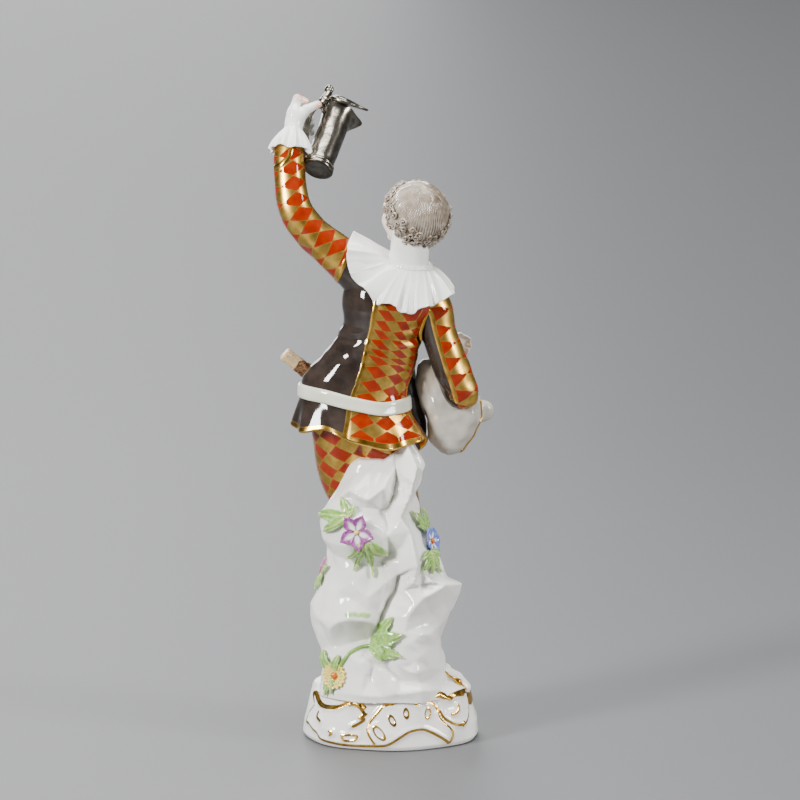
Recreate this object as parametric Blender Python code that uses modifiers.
"""A glazed porcelain commedia dell'arte figure, raising a lidded tankard, on a rock and a scrolled base.

The figure faces -Y and its left side is at +X. Z is up and the origin is under the middle of the base.
Every size below is in millimetres until new_mesh turns it into metres. The whole figure is fired as one
piece, so the forms are modelled one by one and then joined by one Boolean union.
"""

import math

import bmesh
import bpy
import numpy as np
from mathutils import Matrix, Vector
from mathutils.bvhtree import BVHTree

MM = 0.001
NODE = "figure"
PORCELAIN = (0.86, 0.85, 0.82, 1.0)

BASE_HALF_WIDTH = 22.4
BASE_HALF_DEPTH = 19.4
BASE_TOP = 15.0
BASE_HEIGHTS = (0.0, 1.0, 4.5, 8.0, 11.0, 14.0, BASE_TOP)
BASE_SHARES = (0.97, 1.0, 0.985, 0.94, 0.905, 0.865, 0.8)
GROUND = 16.0

# Each row is height, middle x, middle y, half width, half depth and slope to the left
COAT_ROWS = (
    (122.5, -4.2, 1.0, 4.8, 4.6, 0.0),
    (119.5, -3.0, 0.8, 9.0, 6.4, 0.10),
    (116.5, -0.8, 0.5, 12.2, 7.6, 0.08),
    (112.0, 0.2, 0.6, 12.4, 8.4, 0.05),
    (107.0, 2.0, 0.4, 10.4, 7.9, 0.03),
    (102.5, 3.6, 0.0, 11.0, 7.8, 0.05),
    (97.5, 6.2, -0.5, 12.3, 8.3, 0.08),
    (92.5, 9.0, -0.8, 13.4, 9.0, 0.12),
    (87.5, 9.4, -0.8, 13.8, 9.5, 0.12),
)
HEM_MIDDLE = (8.1, 0.0)
HEM_HALF_WIDTH = 17.2
HEM_HALF_DEPTH = 12.6
# Every 30 degrees from the figure's left, over its back, round to its left again
HEM_HEIGHT = (81.2, 80.5, 81.6, 78.4, 76.8, 78.0, 78.7, 73.4, 76.0, 79.0, 81.0, 82.0)
HEM_LIP = 0.8
SKIRT_FOLDS = 9
SKIRT_WAVE = 0.7
SEAT_HEIGHT = 85.0

BELT_HEIGHT = 88.2
BELT_HALF_HEIGHT = 1.45
BELT_THICKNESS = 0.75

# Each row is x, y, z and radius
RAISED_ARM = (
    (4.6, 0.2, 117.0, 6.4), (9.8, 0.0, 121.6, 5.5), (15.0, -0.4, 126.1, 4.9), (20.6, -0.6, 131.0, 4.4),
    (24.4, -1.2, 136.4, 4.3), (25.6, -3.0, 142.6, 4.1), (26.0, -5.2, 148.8, 4.0),
    (25.9, -6.8, 153.0, 3.4),
)
BENT_UPPER_ARM = (
    (-7.6, 0.3, 114.5, 5.4), (-10.6, 0.5, 111.0, 5.1), (-12.0, 0.8, 105.5, 4.6), (-14.4, 0.9, 98.5, 4.6),
    (-17.2, 0.2, 91.6, 4.6), (-17.9, -0.2, 89.0, 3.4),
)
BENT_FOREARM = (
    (-18.0, 0.6, 89.8, 3.4), (-18.0, -1.6, 90.2, 4.4), (-17.2, -6.6, 92.8, 4.1),
    (-15.8, -10.8, 96.6, 3.3),
)
LEFT_LEG = (
    (9.6, -1.0, 91.0, 8.0), (12.0, -1.6, 84.0, 9.4), (12.3, -2.2, 77.0, 9.2),
    (11.6, -3.6, 69.0, 8.2), (8.9, -5.6, 60.0, 6.9), (6.3, -7.4, 50.0, 5.2),
    (5.8, -7.6, 42.5, 5.0), (6.2, -6.6, 35.0, 4.9), (6.6, -6.4, 27.0, 3.4), (6.9, -6.6, 19.0, 2.9),
)
RIGHT_LEG = (
    (5.0, -1.0, 91.0, 7.6), (3.4, -1.2, 84.0, 8.4), (2.4, -2.0, 76.0, 7.9), (1.2, -3.6, 68.0, 7.0),
    (-0.8, -5.6, 59.0, 6.2), (-3.4, -7.8, 49.5, 5.1), (-4.6, -7.6, 42.0, 4.9),
    (-5.8, -6.2, 34.0, 4.8), (-6.6, -5.6, 26.5, 3.4), (-7.2, -5.6, 19.0, 2.9),
)
SHOE_LENGTH = 13.0
# Share of the shoe's length from the ankle, half width and height
SHOE_ROWS = (
    (-0.22, 1.6, 3.4), (-0.1, 2.5, 4.4), (0.15, 2.7, 4.6), (0.45, 2.9, 3.2), (0.7, 2.6, 2.4),
    (0.85, 1.5, 1.6),
)

NECK_ROWS = ((-4.2, 1.0, 117.0, 5.4), (-4.4, 1.0, 124.0, 5.0), (-5.2, 1.0, 131.0, 5.2))
COLLAR_MIDDLE = (-4.2, 0.8)
COLLAR_TOP = 123.2
COLLAR_INNER = 5.0
COLLAR_PLEATS = 22
# Every 30 degrees from the figure's left, over its back, round to its left again
COLLAR_REACH = (15.2, 13.2, 10.6, 9.5, 10.3, 11.3, 11.6, 11.2, 10.4, 10.2, 12.0, 14.4)
COLLAR_EDGE_HEIGHT = (123.5, 117.0, 113.0, 111.6, 112.6, 113.8, 115.6, 115.0, 113.0, 112.5, 118.0, 127.0)

HEAD_MIDDLE = (-5.0, -1.0, 135.0)
HEAD_YAW = 32.0
HEAD_PITCH = 10.0
HEAD_HALF = (6.9, 8.4, 8.7)
HAIR_HALF = (8.3, 8.3, 8.4)
HAIR_SHIFT = (-0.3, 2.0, 0.8)
CURL_RADIUS = 1.7
# Each lock's place on the cap of hair: degrees round it from the left ear, over the nape, and up
CURLS = (
    (35, -48), (62, -52), (90, -54), (118, -52), (146, -48), (8, -34), (172, -34), (2, -8), (178, -8),
    (200, 22), (-20, 22), (225, 46), (-45, 46), (270, 58),
)

TANKARD_FOOT = (18.5, -5.0, 147.0)
TANKARD_AXIS = (-0.285, -0.61, 0.737)
TANKARD_SPOUT = (-0.84, -0.212, -0.5)
TANKARD_LENGTH = 18.5
# Radius and distance along the axis, from the rim down the outside
TANKARD_PROFILE = (
    (4.45, 18.5), (4.1, 17.4), (3.6, 15.0), (3.5, 9.0), (3.6, 2.2), (4.0, 1.4), (3.9, 0.0),
)
TANKARD_WALL = 0.8
TANKARD_STEPS = 14
# In the tankard's own frame, its spout towards -X
SPOUT_CORNERS = (
    (-3.2, 3.2, 18.5), (-3.2, -3.2, 18.5), (-6.8, 0.4, 18.7), (-6.8, -0.4, 18.7), (-3.4, 0.8, 12.5),
    (-3.4, -0.8, 12.5),
)
HANDLE_PATH = (
    (3.0, 0.0, 16.2), (5.6, 0.0, 16.8), (7.4, 0.0, 14.8), (7.5, 0.0, 11.0), (6.2, 0.0, 7.0),
    (4.6, 0.0, 4.6), (3.0, 0.0, 4.2),
)
HINGE = (4.4, 0.0, 19.0)
LID_OPENING = 12.0
LID_PROFILE = ((1.0, 1.3), (3.2, 1.0), (4.6, 0.5), (4.7, 0.0), (4.2, -0.4))
LID_BEAK_CORNERS = (
    (-2.8, 3.4, 0.5), (-2.8, -3.4, 0.5), (-6.4, 0.4, 0.4), (-6.4, -0.4, 0.4), (-2.8, 3.4, -0.3),
    (-2.8, -3.4, -0.3), (-6.4, 0.0, -0.3),
)
THUMB_PIECE = (-0.8, 0.0, 2.5)
THUMB_PIECE_HALF = (1.0, 1.1, 2.5)

# Each row is height, middle x, middle y, half width and half depth
HAT_ROWS = (
    (97.0, -9.4, -3.4, 2.0, 1.6), (94.0, -9.8, -3.4, 4.4, 3.0), (88.0, -11.6, -3.4, 8.0, 4.0),
    (82.0, -14.2, -3.6, 9.4, 4.2), (77.0, -15.2, -3.8, 6.6, 3.6), (73.4, -15.0, -4.0, 3.4, 2.4),
    (72.2, -14.8, -4.0, 1.2, 1.0),
)
STICK_ENDS = ((27.6, -6.6, 98.6), (1.5, -14.2, 77.5))
STICK_SECTION = (2.6, 3.8)
COAT_FLAP = (
    (-3.0, -1.0, 98.0), (-5.4, -7.0, 97.0), (-9.4, -5.0, 79.0), (-7.4, -4.0, 73.6), (-3.0, -3.0, 74.6),
    (-5.0, -9.0, 78.0), (4.0, 0.0, 88.0), (-8.0, -4.6, 86.0), (4.0, 0.0, 80.0),
)
BUTTON_HEIGHTS = (113.0, 108.5, 104.0, 99.5, 95.0)
FINGER_COUNT = 4

# The corners of each block of rock that face outwards, as x, y, z
ROCK_BLOCKS = {
    "core": (
        (8.0, 8.5, 68.0), (-4.0, 7.5, 68.0), (12.0, 8.0, 54.0), (-6.0, 8.0, 54.0),
        (0.0, 11.4, 50.0), (15.0, 8.0, 40.0), (-9.0, 8.0, 40.0), (0.6, 11.8, 40.0),
        (15.0, 8.0, 20.0), (-10.0, 8.0, 20.0), (0.6, 13.5, 26.0),
    ),
    "top_ridge": (
        (-4.6, 8.0, 77.4), (-8.8, 6.0, 72.4), (-6.8, 5.5, 66.0), (-6.0, 5.0, 60.0),
        (0.6, 9.5, 75.6), (0.2, 12.4, 72.1), (1.2, 13.2, 63.8), (-2.6, 12.6, 56.0),
        (-4.4, 11.0, 70.0), (1.6, 12.6, 52.0),
    ),
    "top_slab": (
        (8.3, 7.0, 74.2), (10.2, 8.0, 71.4), (13.2, 6.0, 66.2), (1.0, 12.0, 72.4),
        (5.4, 14.0, 64.7), (11.0, 11.0, 64.6), (3.4, 13.0, 57.7), (0.0, 9.5, 75.4),
        (15.8, 4.0, 62.4),
    ),
    "shoulder": (
        (18.8, 2.0, 55.4), (13.1, 9.4, 62.0), (17.8, 4.5, 59.7), (17.8, 5.5, 52.1), (14.4, 8.0, 48.0),
        (10.5, 13.2, 61.0), (1.6, 13.6, 56.4), (5.4, 13.4, 46.5), (11.8, 13.6, 52.4), (-0.9, 11.6, 48.1),
    ),
    "shard": (
        (-1.2, 12.2, 57.0), (-4.4, 13.4, 56.2), (-6.8, 11.6, 48.1), (-6.6, 12.6, 41.0),
        (-2.2, 15.0, 46.1), (-2.9, 13.8, 39.0), (-9.8, 3.0, 50.0), (-12.3, 3.0, 38.0),
        (-7.4, 3.5, 58.0),
    ),
    "ledge": (
        (-10.4, 10.0, 43.6), (-18.2, 4.0, 40.8), (-17.2, -0.5, 41.2), (-7.3, 14.4, 41.2),
        (-3.0, 15.8, 38.0), (-4.2, 15.6, 27.0), (-12.0, 8.6, 25.0), (-13.8, 0.0, 19.5),
        (-2.2, 15.8, 21.0), (-16.2, 3.0, 34.0),
    ),
    "left_crag": (
        (14.2, 6.0, 49.0), (10.5, 13.2, 45.0), (18.6, 8.4, 37.1), (21.2, 3.0, 34.4), (20.7, 3.0, 29.6),
        (15.4, 13.4, 31.1), (4.9, 15.6, 32.4), (2.4, 14.8, 39.0), (8.0, 13.6, 44.0), (17.8, 4.5, 22.0),
        (11.9, 11.0, 24.0),
    ),
    "foot": (
        (17.3, 5.0, 22.5), (11.8, 13.4, 26.4), (4.9, 16.2, 30.0), (-3.5, 17.2, 25.2), (-8.3, 14.6, 26.0),
        (-13.7, 4.0, 21.0), (-15.8, 5.0, 12.2), (-7.3, 16.8, 13.0), (5.4, 17.6, 13.0), (15.7, 12.8, 13.5),
        (19.2, 3.0, 12.3),
    ),
}
ROCK_CORE_Y = -3.0
ROCK_CORE_TAPER = 0.86
GROUND_BLOCKS = {
    "left_ground": (
        (17.5, -3.0, 19.0), (15.0, -11.0, 15.5), (3.0, -15.0, 16.5), (10.0, -4.0, 22.0),
        (0.0, -4.0, 18.5),
    ),
    "right_ground": (
        (-16.0, -3.0, 18.0), (-14.5, -10.0, 15.5), (-1.0, -14.5, 16.0), (-10.0, -5.0, 20.0),
        (1.0, -4.0, 18.0),
    ),
}

# Where the line to each flower starts, the way it goes to meet the rock, the flower's radius and petals
FLOWERS = (
    ((9.2, 40.0, 55.6), (0.0, -1.0, 0.0), 4.6, 5),
    ((-30.0, 6.0, 51.6), (1.0, 0.0, 0.0), 3.4, 6),
    ((14.0, 40.0, 18.4), (0.0, -1.0, 0.0), 3.5, 9),
    ((40.0, 2.0, 44.6), (-1.0, 0.0, 0.0), 2.4, 5),
    ((-30.0, -2.0, 30.0), (1.0, 0.0, 0.0), 3.2, 5),
    ((15.5, -30.0, 33.0), (0.0, 1.0, 0.0), 3.4, 6),
)
FLOWER_THICKNESS = 1.8
FLOWER_NOTCH = 0.42
LEAF_SHARE = 1.45
LEAVES_PER_FLOWER = 3

# Each scroll is a run of (angle round the base in degrees, height)
BASE_SCROLLS = (
    ((62, 3.0), (70, 8.4), (82, 12.6), (96, 13.4), (108, 12.0), (116, 8.0), (124, 5.0)),
    ((66, 2.6), (76, 3.4), (88, 6.6), (102, 6.4), (112, 3.6), (118, 2.4)),
    ((30, 16.0), (24, 12.6), (34, 10.6), (46, 11.6), (54, 13.6)),
    ((128, 13.0), (138, 12.4), (150, 13.6), (160, 15.6)),
    ((122, 9.4), (132, 6.2), (144, 5.6), (152, 8.6)),
    ((18, 6.6), (28, 3.6), (42, 1.8), (58, 1.6)),
    ((196, 3.0), (204, 9.4), (216, 12.4), (230, 10.0), (238, 4.6)),
    ((244, 11.6), (256, 14.0), (270, 14.6), (284, 14.0), (296, 11.6)),
    ((248, 3.0), (258, 6.4), (270, 7.4), (282, 6.4), (292, 3.0)),
    ((302, 4.6), (310, 10.0), (324, 12.4), (336, 9.4), (344, 3.0)),
)


def clear_scene():
    """Removes whatever the open file holds."""
    for thing in list(bpy.data.objects):
        bpy.data.objects.remove(thing)


def new_mesh(name, bm, smooth=True):
    """Turns a bmesh in millimetres into an object in metres, with its faces pointing out."""
    bmesh.ops.recalc_face_normals(bm, faces=bm.faces)
    for face in bm.faces:
        face.smooth = smooth
    bmesh.ops.scale(bm, vec=(MM, MM, MM), verts=bm.verts)
    mesh = bpy.data.meshes.new(name)
    bm.to_mesh(mesh)
    bm.free()
    return bpy.data.objects.new(name, mesh)


def between(p0, p1, p2, p3, t):
    """The smooth curve between p1 and p2, at share t of the way (Catmull-Rom)."""
    bend = (2 * p0 - 5 * p1 + 4 * p2 - p3) * t**2
    twist = (3 * p1 - p0 - 3 * p2 + p3) * t**3
    return 0.5 * (2 * p1 + (p2 - p0) * t + bend + twist)


def smooth_rows(rows, count):
    """Reads count rows from a smooth curve through the given ones."""
    rows = np.array(rows, float)
    padded = np.vstack([2 * rows[0] - rows[1], rows, 2 * rows[-1] - rows[-2]])
    place = np.linspace(0, len(rows) - 1, count)
    start = np.minimum(place.astype(int), len(rows) - 2)
    t = (place - start)[:, None]
    p0, p1, p2, p3 = (padded[start + k] for k in range(4))
    return between(p0, p1, p2, p3, t)


def loft(name, rings):
    """A closed skin over rings of equal point counts, with the first and last ring filled."""
    bm = bmesh.new()
    made = [[bm.verts.new(point) for point in ring] for ring in rings]
    for lower, upper in zip(made, made[1:]):
        for k in range(len(lower)):
            after = (k + 1) % len(lower)
            bm.faces.new((lower[k], lower[after], upper[after], upper[k]))
    for cap in (made[0], made[-1]):
        bm.faces.new(cap)
    return new_mesh(name, bm)


def circle(count):
    """Angles of count points round a circle, in radians."""
    return np.linspace(0, 2 * math.pi, count, endpoint=False)


def limb(name, rows, rings, sides):
    """A skin of round sections that stand square to a path of (x, y, z, radius) rows."""
    rows = smooth_rows(rows, rings)
    path = rows[:, :3]
    along = np.gradient(path, axis=0)
    along /= np.linalg.norm(along, axis=1)[:, None]
    across = np.cross(along, (0.0, 1.0, 0.0))
    across /= np.linalg.norm(across, axis=1)[:, None]
    third = np.cross(along, across)
    turn = circle(sides)
    ring = np.cos(turn)[None, :, None] * across[:, None] + np.sin(turn)[None, :, None] * third[:, None]
    return loft(name, path[:, None] + ring * rows[:, 3][:, None, None])


def ball(name, middle, half, segments=12, rows=8, turn=None):
    """An ellipsoid from a sphere, with its own half sizes."""
    bm = bmesh.new()
    bmesh.ops.create_uvsphere(bm, u_segments=segments, v_segments=rows, radius=1.0)
    place = Matrix.Translation(middle) @ (turn or Matrix.Identity(4)) @ Matrix.Diagonal((*half, 1.0))
    bmesh.ops.transform(bm, matrix=place, verts=bm.verts)
    return new_mesh(name, bm)


def facing(middle, normal, roll=0.0):
    """A matrix whose +Z points along normal, at middle."""
    aim = Vector(normal).to_track_quat("Z", "Y").to_matrix().to_4x4()
    return Matrix.Translation(middle) @ aim @ Matrix.Rotation(roll, 4, "Z")


def mesh_of_curve(name, curve, place, smooth=True):
    """The welded mesh of a curve, as an object of its own."""
    drawn = bpy.data.objects.new(name, curve)
    bpy.context.scene.collection.objects.link(drawn)
    graph = bpy.context.evaluated_depsgraph_get()
    mesh = bpy.data.meshes.new_from_object(drawn.evaluated_get(graph))
    bpy.data.objects.remove(drawn)
    bm = bmesh.new()
    bm.from_mesh(mesh)
    bpy.data.meshes.remove(mesh)
    bmesh.ops.remove_doubles(bm, verts=bm.verts, dist=1e-4)
    bmesh.ops.transform(bm, matrix=place, verts=bm.verts)
    return new_mesh(name, bm, smooth)


def plate(name, outline, thickness, place):
    """A flat outline of (x, y) points, extruded to a plate and put in place."""
    curve = bpy.data.curves.new(name, "CURVE")
    curve.dimensions = "2D"
    curve.fill_mode = "BOTH"
    curve.extrude = thickness / 2
    spline = curve.splines.new("POLY")
    spline.points.add(len(outline) - 1)
    for point, (x, y) in zip(spline.points, outline):
        point.co = (x, y, 0.0, 1.0)
    spline.use_cyclic_u = True
    return mesh_of_curve(name, curve, place, smooth=False)


def rod(name, points, radius, resolution=1):
    """A round rod along the given points, with filled ends."""
    curve = bpy.data.curves.new(name, "CURVE")
    curve.dimensions = "3D"
    curve.bevel_depth = radius
    curve.bevel_resolution = resolution
    curve.use_fill_caps = True
    spline = curve.splines.new("POLY")
    spline.points.add(len(points) - 1)
    for point, (x, y, z) in zip(spline.points, points):
        point.co = (x, y, z, 1.0)
    return mesh_of_curve(name, curve, Matrix.Identity(4))


def base_ring(height, share, turn):
    """Points round the base at one height, with the shallow waves of its rim."""
    wave = 1 + 0.018 * np.cos(7 * turn + 0.6) * (share > 0.8)
    x = BASE_HALF_WIDTH * share * wave * np.cos(turn)
    y = BASE_HALF_DEPTH * share * wave * np.sin(turn)
    return np.stack([x, y, np.full_like(turn, height)], axis=1)


def base_share(height):
    """How wide the base is at a height, as a share of its foot."""
    return np.interp(height, BASE_HEIGHTS, BASE_SHARES)


def base():
    """The low oval base."""
    turn = circle(34)
    return loft("base", [base_ring(z, base_share(z), turn) for z in BASE_HEIGHTS])


def base_scrolls():
    """The raised scrolls that run over the side of the base."""
    made = []
    for number, knots in enumerate(BASE_SCROLLS):
        rows = smooth_rows(knots, len(knots) + 2)
        points = [base_ring(z, base_share(z), np.radians([a]))[0] for a, z in rows]
        made.append(rod(f"scroll_{number}", points, 0.8, 0))
    return made


def hull(name, points):
    """The convex hull of some points."""
    bm = bmesh.new()
    for point in points:
        bm.verts.new(point)
    made = bmesh.ops.convex_hull(bm, input=bm.verts)
    spare = set(made["geom_unused"] + made["geom_interior"])
    bmesh.ops.delete(bm, geom=list(spare), context="VERTS")
    return new_mesh(name, bm, smooth=False)


def block(name, corners):
    """One block of rock: the hull of its outer corners and of their inner twins near the rock's core."""
    inner = [(x * ROCK_CORE_TAPER, ROCK_CORE_Y, z) for x, _, z in corners]
    return hull(name, [*corners, *inner])


def ground_block(name, corners):
    """A low block of ground under the shoes: the hull of its corners and their feet inside the base."""
    feet = [(x, y, BASE_TOP - 6.0) for x, y, _ in corners]
    return hull(name, [*corners, *feet])


def flower_outline(radius, petals):
    """The edge of an open flower: a circle that swells at each petal."""
    turn = circle(petals * 2)
    notch = FLOWER_NOTCH if petals < 8 else FLOWER_NOTCH / 2
    reach = radius * (1 - notch * (1 - np.abs(np.cos(petals * turn / 2))))
    return np.stack([reach * np.cos(turn), reach * np.sin(turn)], axis=1)


def leaf_outline(length):
    """The edge of a pointed leaf that grows from the origin along +X."""
    share = np.linspace(0, 1, 4)
    half = 0.24 * length * np.sin(math.pi * share[1:-1] ** 0.8)
    upper = np.stack([share[1:-1] * length, half], axis=1)
    return np.vstack([(0.0, 0.0), upper * (1, -1), (length, 0.0), upper[::-1]])


def flower(number, middle, normal, radius, petals):
    """A flower with its leaves, laid on the rock."""
    outline = flower_outline(radius, petals)
    made = [plate(f"flower_{number}", outline, FLOWER_THICKNESS, facing(middle, normal))]
    eye_at = Vector(middle) + Vector(normal) * FLOWER_THICKNESS / 2
    made.append(ball(f"flower_{number}_eye", eye_at, (0.9, 0.9, 0.9), 6, 3))
    for k in range(LEAVES_PER_FLOWER):
        roll = math.radians(35 + 125 * k + 20 * number)
        start = Matrix.Translation((radius * 0.4, 0.0, -0.5))
        place = facing(middle, normal, roll) @ start
        made.append(plate(f"leaf_{number}_{k}", leaf_outline(LEAF_SHARE * radius), 1.2, place))
    return made


def rock_surface(blocks, start, way):
    """The first point of the rock on a line, and a way out halfway between the rock's and the line's."""
    nearest = None
    for one in blocks:
        points = [vert.co / MM for vert in one.data.vertices]
        tree = BVHTree.FromPolygons(points, [list(face.vertices) for face in one.data.polygons])
        spot, normal, _, distance = tree.ray_cast(Vector(start), Vector(way))
        if spot is not None and (nearest is None or distance < nearest[2]):
            nearest = (spot, normal, distance)
    spot, normal, _ = nearest
    return spot, (normal - Vector(way)).normalized()


def coat_ring(row, turn):
    """One ring of the coat above its belt."""
    height, x, y, half_width, half_depth, slope = row
    across = half_width * np.cos(turn)
    return np.stack([x + across, y + half_depth * np.sin(turn), height + slope * across], axis=1)


def skirt_ring(share, shrink, lift, turn):
    """One ring of the skirt below the belt, share 0 at the belt and 1 at the hem."""
    top = np.array(COAT_ROWS[-1])
    wave = share * SKIRT_WAVE * np.cos(SKIRT_FOLDS * turn + 0.9) - shrink
    half_width = top[3] + (HEM_HALF_WIDTH - top[3]) * share + wave
    half_depth = top[4] + (HEM_HALF_DEPTH - top[4]) * share + wave
    x = top[1] + (HEM_MIDDLE[0] - top[1]) * share + half_width * np.cos(turn)
    y = top[2] + (HEM_MIDDLE[1] - top[2]) * share + half_depth * np.sin(turn)
    belt_height = top[0] + top[5] * half_width * np.cos(turn)
    height = belt_height + (periodic(HEM_HEIGHT, turn) - belt_height) * share + lift
    return np.stack([x, y, height], axis=1)


def coat():
    """The fitted coat, from the neck down to the hem of its skirt, and in under the hem to the seat."""
    turn = circle(28)
    rings = [coat_ring(row, turn) for row in smooth_rows(COAT_ROWS, 10)]
    rings += [skirt_ring(share, 0.0, 0.0, turn) for share in (0.35, 0.7, 1.0)]
    rings.append(skirt_ring(1.0, HEM_LIP, -0.3, turn))
    rings.append(skirt_ring(1.0, 2.4, 1.2, turn))
    seat = skirt_ring(1.0, 5.0, 0.0, turn)
    seat[:, 2] = SEAT_HEIGHT
    rings.append(seat)
    return loft("coat", rings)


def coat_half_sizes(height):
    """Middle, half width and half depth of the coat at a height."""
    rows = np.array(COAT_ROWS)[::-1]
    return [float(np.interp(height, rows[:, 0], rows[:, k])) for k in (1, 2, 3, 4)]


def belt():
    """The belt, a flat band that follows the hips and slopes to the figure's right."""
    turn = circle(28)
    rings = []
    for side in (-1, 1):
        z = BELT_HEIGHT + side * BELT_HALF_HEIGHT
        x, y, half_width, half_depth = coat_half_sizes(z)
        row = (z, x, y, half_width + BELT_THICKNESS, half_depth + BELT_THICKNESS, 0.12)
        rings.append(coat_ring(row, turn))
    return loft("belt", rings)


def shoe(name, ankle, toe_turn):
    """A low shoe under an ankle, its toe turned out."""
    x, y, _ = ankle
    aim = math.radians(toe_turn)
    forward = np.array([math.sin(aim), -math.cos(aim), 0.0])
    side = np.array([math.cos(aim), math.sin(aim), 0.0])
    turn = circle(10)
    rings = []
    for share, half_width, top in SHOE_ROWS:
        middle = np.array([x, y, GROUND + top / 2]) + forward * share * SHOE_LENGTH
        ring = middle + side * half_width * np.cos(turn)[:, None]
        ring[:, 2] += top / 2 * np.sin(turn)
        rings.append(ring)
    return loft(name, rings)


def periodic(values, turn):
    """A smooth closed curve through values that are 30 degrees apart."""
    values = np.array(values)
    place = (turn / (2 * math.pi)) % 1 * len(values)
    start = place.astype(int)
    t = place - start
    p0, p1, p2, p3 = (values[(start + k) % len(values)] for k in (-1, 0, 1, 2))
    return between(p0, p1, p2, p3, t)


def collar_ring(share, lift, turn):
    """One ring of the pleated collar, share 0 at the neck and 1 at its edge."""
    reach = periodic(COLLAR_REACH, turn)
    edge = periodic(COLLAR_EDGE_HEIGHT, turn)
    pleat = np.cos(COLLAR_PLEATS * turn) * share
    out = COLLAR_INNER + (reach - COLLAR_INNER) * share**0.85 + 0.15 * pleat
    height = COLLAR_TOP + (edge - COLLAR_TOP) * share**1.25 + 0.35 * pleat + lift
    x = COLLAR_MIDDLE[0] + out * np.cos(turn)
    y = COLLAR_MIDDLE[1] + out * np.sin(turn)
    return np.stack([x, y, height], axis=1)


def collar():
    """The falling collar, pleated all round, thin at its edge and thick on the shoulders."""
    turn = circle(COLLAR_PLEATS * 2)
    upper = [collar_ring(share, 0.5, turn) for share in (0.0, 0.5, 1.0)]
    lower = [collar_ring(0.97, -0.6, turn), collar_ring(0.0, -7.5, turn)]
    return loft("collar", upper + lower)


def cuff(name, wrist, aim, inner, outer, length):
    """A pleated wrist frill that opens towards the sleeve."""
    turn = circle(16)
    place = np.array(facing(wrist, aim))
    rows = (
        (inner, 0.0, 0.0),
        (inner * 1.3, length * 0.4, 0.15),
        (outer, length, 0.4),
        (inner, length * 0.8, 0.0),
    )
    rings = []
    for radius, along, wave in rows:
        out = radius + wave * np.cos(8 * turn)
        local = np.stack([out * np.cos(turn), out * np.sin(turn), np.full_like(turn, along)], axis=1)
        rings.append(local @ place[:3, :3].T + place[:3, 3])
    return loft(name, rings)


def head_turn():
    """The way the head looks: turned to the raised tankard and a little up."""
    yaw = Matrix.Rotation(math.radians(HEAD_YAW), 4, "Z")
    return yaw @ Matrix.Rotation(math.radians(-HEAD_PITCH), 4, "X")


def head():
    """The face and skull, with a nose, brow and chin, and the cap of hair."""
    bm = bmesh.new()
    bmesh.ops.create_uvsphere(bm, u_segments=16, v_segments=12, radius=1.0)
    for vert in bm.verts:
        x, y, z = vert.co
        front = max(0.0, -y) ** 2
        jaw = 1 - 0.24 * max(0.0, -z) ** 2
        nose = 1.5 * front * math.exp(-((x / 0.2) ** 2)) * math.exp(-(((z + 0.22) / 0.2) ** 2))
        chin = 0.9 * front * math.exp(-((x / 0.4) ** 2)) * math.exp(-(((z + 0.8) / 0.25) ** 2))
        vert.co = (x * HEAD_HALF[0] * jaw, y * HEAD_HALF[1] - nose - chin, z * HEAD_HALF[2])
    bmesh.ops.transform(bm, matrix=Matrix.Translation(HEAD_MIDDLE) @ head_turn(), verts=bm.verts)
    face = new_mesh("face", bm)
    middle = Vector(HEAD_MIDDLE) + head_turn() @ Vector(HAIR_SHIFT)
    hair = ball("hair", middle, HAIR_HALF, 16, 9, head_turn())
    return [face, hair]


def curls():
    """The locks that stand out from the cap of hair at the nape, the temples and the brow."""
    made = []
    middle = Vector(HEAD_MIDDLE) + head_turn() @ Vector(HAIR_SHIFT)
    for number, (around, up) in enumerate(CURLS):
        a = math.radians(around)
        e = math.radians(up)
        way = Vector((math.cos(a) * math.cos(e), math.sin(a) * math.cos(e), math.sin(e)))
        spot = Vector([way[k] * HAIR_HALF[k] * 0.93 for k in range(3)])
        made.append(ball(f"curl_{number}", middle + head_turn() @ spot, [CURL_RADIUS] * 3, 6, 3))
    return made


def tankard_frame():
    """A matrix whose +Z is the tankard's axis and whose -X is its spout."""
    axis = Vector(TANKARD_AXIS).normalized()
    spout = Vector(TANKARD_SPOUT)
    spout = (spout - axis * spout.dot(axis)).normalized()
    side = axis.cross(-spout)
    frame = Matrix((-spout, side, axis)).transposed().to_4x4()
    return Matrix.Translation(TANKARD_FOOT) @ frame


def turned(name, profile, steps, place):
    """A turned shape from (radius, height) points given down its outer side, closed on the axis."""
    bm = bmesh.new()
    points = [(0.0, profile[0][1]), *profile, (0.0, profile[-1][1])]
    verts = [bm.verts.new((r, 0.0, z)) for r, z in points]
    for first, second in zip(verts, verts[1:]):
        bm.edges.new((first, second))
    mesh = bpy.data.meshes.new(name)
    bm.to_mesh(mesh)
    bm.free()
    drawn = bpy.data.objects.new(name, mesh)
    bpy.context.scene.collection.objects.link(drawn)
    screw = drawn.modifiers.new("turn", "SCREW")
    screw.steps = screw.render_steps = steps
    screw.use_merge_vertices = True
    screw.merge_threshold = 1e-4
    graph = bpy.context.evaluated_depsgraph_get()
    made = bmesh.new()
    made.from_mesh(drawn.evaluated_get(graph).to_mesh())
    bpy.data.objects.remove(drawn)
    bmesh.ops.remove_doubles(made, verts=made.verts, dist=1e-4)
    bmesh.ops.transform(made, matrix=place, verts=made.verts)
    return new_mesh(name, made)


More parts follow.
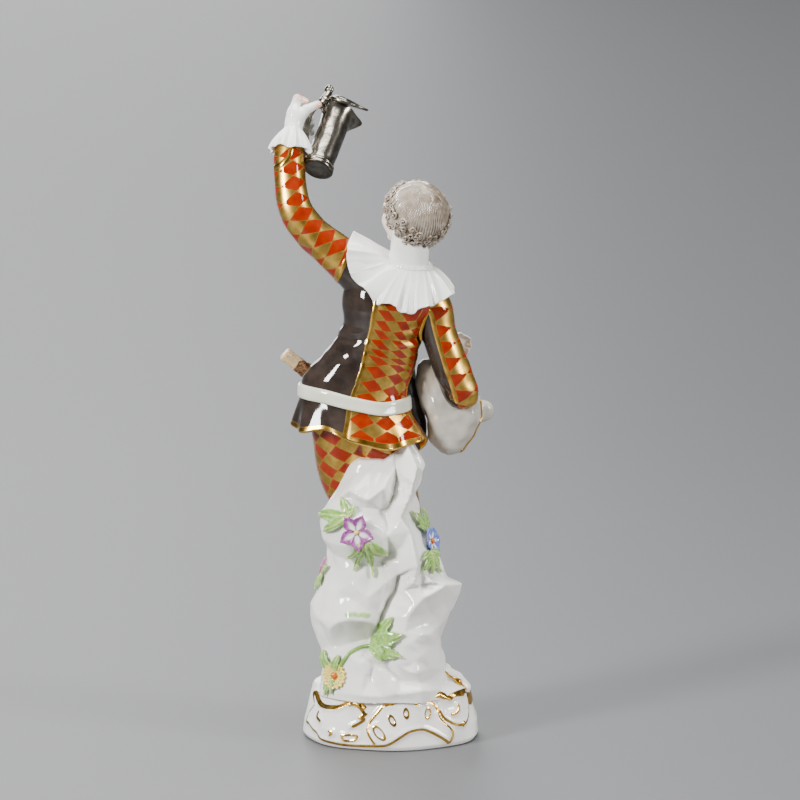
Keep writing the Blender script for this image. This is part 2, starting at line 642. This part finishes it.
def tankard():
    """The lidded tankard in the raised hand, hollow, with its lid standing open over a beak spout."""
    place = tankard_frame()
    body = turned("tankard", TANKARD_PROFILE, TANKARD_STEPS, place)
    beak = hull("tankard_spout", [place @ Vector(corner) for corner in SPOUT_CORNERS])
    grip = rod("tankard_handle", [place @ Vector(point) for point in HANDLE_PATH], 0.8, 1)
    hinge = ball("tankard_hinge", place @ Vector(HINGE), (1.2, 1.2, 1.2), 6, 4)
    swing = Matrix.Translation(HINGE) @ Matrix.Rotation(math.radians(LID_OPENING), 4, "Y")
    lid_place = place @ swing @ Matrix.Translation((-5.2, 0.0, 0.0))
    lid = turned("tankard_lid", LID_PROFILE, TANKARD_STEPS, lid_place)
    lid_beak = hull("tankard_lid_beak", [lid_place @ Vector(corner) for corner in LID_BEAK_CORNERS])
    upright = place.to_3x3().to_4x4()
    thumb_at = place @ swing @ Vector(THUMB_PIECE)
    thumb = ball("tankard_thumb_piece", thumb_at, THUMB_PIECE_HALF, 6, 4, upright)
    return [body, beak, grip, hinge, lid, lid_beak, thumb]


def tankard_well():
    """The cutter that hollows the tankard out."""
    profile = [(TANKARD_PROFILE[0][0] - TANKARD_WALL, TANKARD_LENGTH + 0.2)]
    profile += [(radius - TANKARD_WALL, along) for radius, along in TANKARD_PROFILE[1:5]]
    return turned("tankard_well", profile, TANKARD_STEPS, tankard_frame())


def raised_hand():
    """The fist round the tankard's handle, its thumb up against the lid's hinge."""
    tilt = Matrix.Rotation(0.35, 4, "X")
    palm = ball("raised_palm", (24.0, -10.0, 159.6), (2.9, 3.0, 4.2), 10, 6, tilt)
    wrist = rod("raised_wrist", [(25.6, -6.6, 152.6), (25.0, -8.8, 157.6)], 2.4)
    knuckle = ball("raised_knuckle", (23.8, -11.0, 163.4), (1.5, 1.7, 1.7), 6, 4)
    thumb = rod("raised_thumb", [(23.6, -8.8, 159.6), (21.6, -10.0, 161.6), (18.2, -12.0, 162.6)], 1.2)
    made = [palm, wrist, knuckle, thumb]
    for k in range(FINGER_COUNT):
        drop = 2.0 * k
        knuckle = (25.0, -11.6 - 0.2 * k, 162.6 - drop)
        bend = (23.4, -14.4, 162.4 - drop)
        tip = (20.2, -14.4, 160.6 - drop)
        made.append(rod(f"raised_finger_{k}", [knuckle, bend, tip], 1.1))
    return made


def resting_hand():
    """The other hand, held up before the chest with its fingers loosely bent."""
    palm = ball("resting_palm", (-13.8, -14.4, 102.4), (2.2, 2.6, 3.4), 10, 6)
    wrist = rod("resting_wrist", [(-15.6, -11.2, 96.4), (-14.2, -13.8, 100.6)], 2.0)
    thumb_path = [(-12.6, -13.8, 101.4), (-10.4, -14.4, 103.2), (-9.2, -14.4, 105.0)]
    thumb = rod("resting_thumb", thumb_path, 1.05)
    made = [palm, wrist, thumb]
    for k in range(FINGER_COUNT):
        knuckle = (-12.8 - 0.9 * k, -15.4 + 0.5 * k, 104.2)
        bend = (-11.0 - k, -16.0 + 0.4 * k, 107.2)
        tip = (-8.8 - k, -15.2 + 0.5 * k, 108.2)
        made.append(rod(f"resting_finger_{k}", [knuckle, bend, tip], 0.95))
    return made


def hat():
    """The soft hat under the bent arm: a deep rounded crown, and the turned-up brim beyond it."""
    turn = circle(12)
    rings = [
        np.stack([x + wide * np.cos(turn), y + deep * np.sin(turn), np.full_like(turn, z)], axis=1)
        for z, x, y, wide, deep in smooth_rows(HAT_ROWS, 8)
    ]
    crown = loft("hat_crown", rings)
    brim = ball("hat_brim", (-16.0, -7.4, 83.0), (7.6, 1.6, 8.2), 12, 6)
    peak = ball("hat_peak", (-21.8, -6.8, 82.6), (4.9, 2.4, 2.7), 8, 4)
    return [crown, brim, peak]


def stick():
    """The flat wooden stick that is pushed through the belt."""
    start, end = (Vector(p) for p in STICK_ENDS)
    bm = bmesh.new()
    bmesh.ops.create_cube(bm, size=1.0)
    size = Matrix.Diagonal((*STICK_SECTION, (end - start).length, 1.0))
    place = facing((start + end) / 2, end - start, 0.4) @ size
    bmesh.ops.transform(bm, matrix=place, verts=bm.verts)
    return new_mesh("stick", bm, smooth=False)


def coat_flap():
    """The coat's front edge, which swings out past the hip on the figure's right."""
    return hull("coat_flap", COAT_FLAP)


def buttons():
    """The buttons down the front of the coat."""
    made = []
    for z in BUTTON_HEIGHTS:
        x, y, _, half_depth = coat_half_sizes(z)
        made.append(ball(f"button_{z:.0f}", (x, y - half_depth, z), (1.0, 0.8, 1.0), 6, 3))
    return made


def arms():
    """Both sleeves with their wrist frills and hands."""
    made = [limb("raised_arm", RAISED_ARM, 11, 10)]
    made.append(cuff("raised_cuff", (25.2, -8.4, 156.8), (0.12, 0.45, -1.0), 2.6, 5.8, 7.0))
    made += raised_hand()
    made.append(limb("bent_upper_arm", BENT_UPPER_ARM, 8, 10))
    made.append(limb("bent_forearm", BENT_FOREARM, 5, 10))
    made.append(cuff("bent_cuff", (-14.8, -13.2, 99.8), (-0.3, 0.6, -0.75), 2.2, 3.9, 4.4))
    made += resting_hand()
    return made


def forms():
    """Every form of the figure but the coat, which they are joined to."""
    made = [base(), *base_scrolls()]
    rock = [block(name, corners) for name, corners in ROCK_BLOCKS.items()]
    made += rock
    made += [ground_block(name, corners) for name, corners in GROUND_BLOCKS.items()]
    for number, (start, way, radius, petals) in enumerate(FLOWERS):
        made += flower(number, *rock_surface(rock, start, way), radius, petals)
    made += [limb("left_leg", LEFT_LEG, 9, 9), limb("right_leg", RIGHT_LEG, 9, 9)]
    made += [shoe("left_shoe", LEFT_LEG[-1][:3], 28.0), shoe("right_shoe", RIGHT_LEG[-1][:3], -22.0)]
    made += [belt(), coat_flap(), *buttons(), stick(), *arms()]
    made += [limb("neck", NECK_ROWS, 3, 10), collar(), *head(), *curls()]
    made += [*hat(), *tankard()]
    return made


def main():
    """Builds the figure as one object."""
    clear_scene()
    scene = bpy.context.scene
    shown = bpy.data.collections.new("commedia figure")
    helpers = bpy.data.collections.new("forms to join")
    cutters = bpy.data.collections.new("cutters")
    for collection in (shown, helpers, cutters):
        scene.collection.children.link(collection)
    body = coat()
    body.name = NODE
    shown.objects.link(body)
    for form in forms():
        helpers.objects.link(form)
        form.hide_render = True
        form.display_type = "WIRE"
    well = tankard_well()
    cutters.objects.link(well)
    well.hide_render = True
    well.display_type = "WIRE"
    join = body.modifiers.new("join the forms", "BOOLEAN")
    join.operation = "UNION"
    join.operand_type = "COLLECTION"
    join.collection = helpers
    hollow = body.modifiers.new("hollow the tankard", "BOOLEAN")
    hollow.operation = "DIFFERENCE"
    hollow.object = well
    glaze = bpy.data.materials.new("porcelain")
    glaze.use_nodes = True
    shader = glaze.node_tree.nodes["Principled BSDF"]
    shader.inputs["Base Color"].default_value = PORCELAIN
    shader.inputs["Roughness"].default_value = 0.12
    shader.inputs["Metallic"].default_value = 0.0
    body.data.materials.append(glaze)


main()
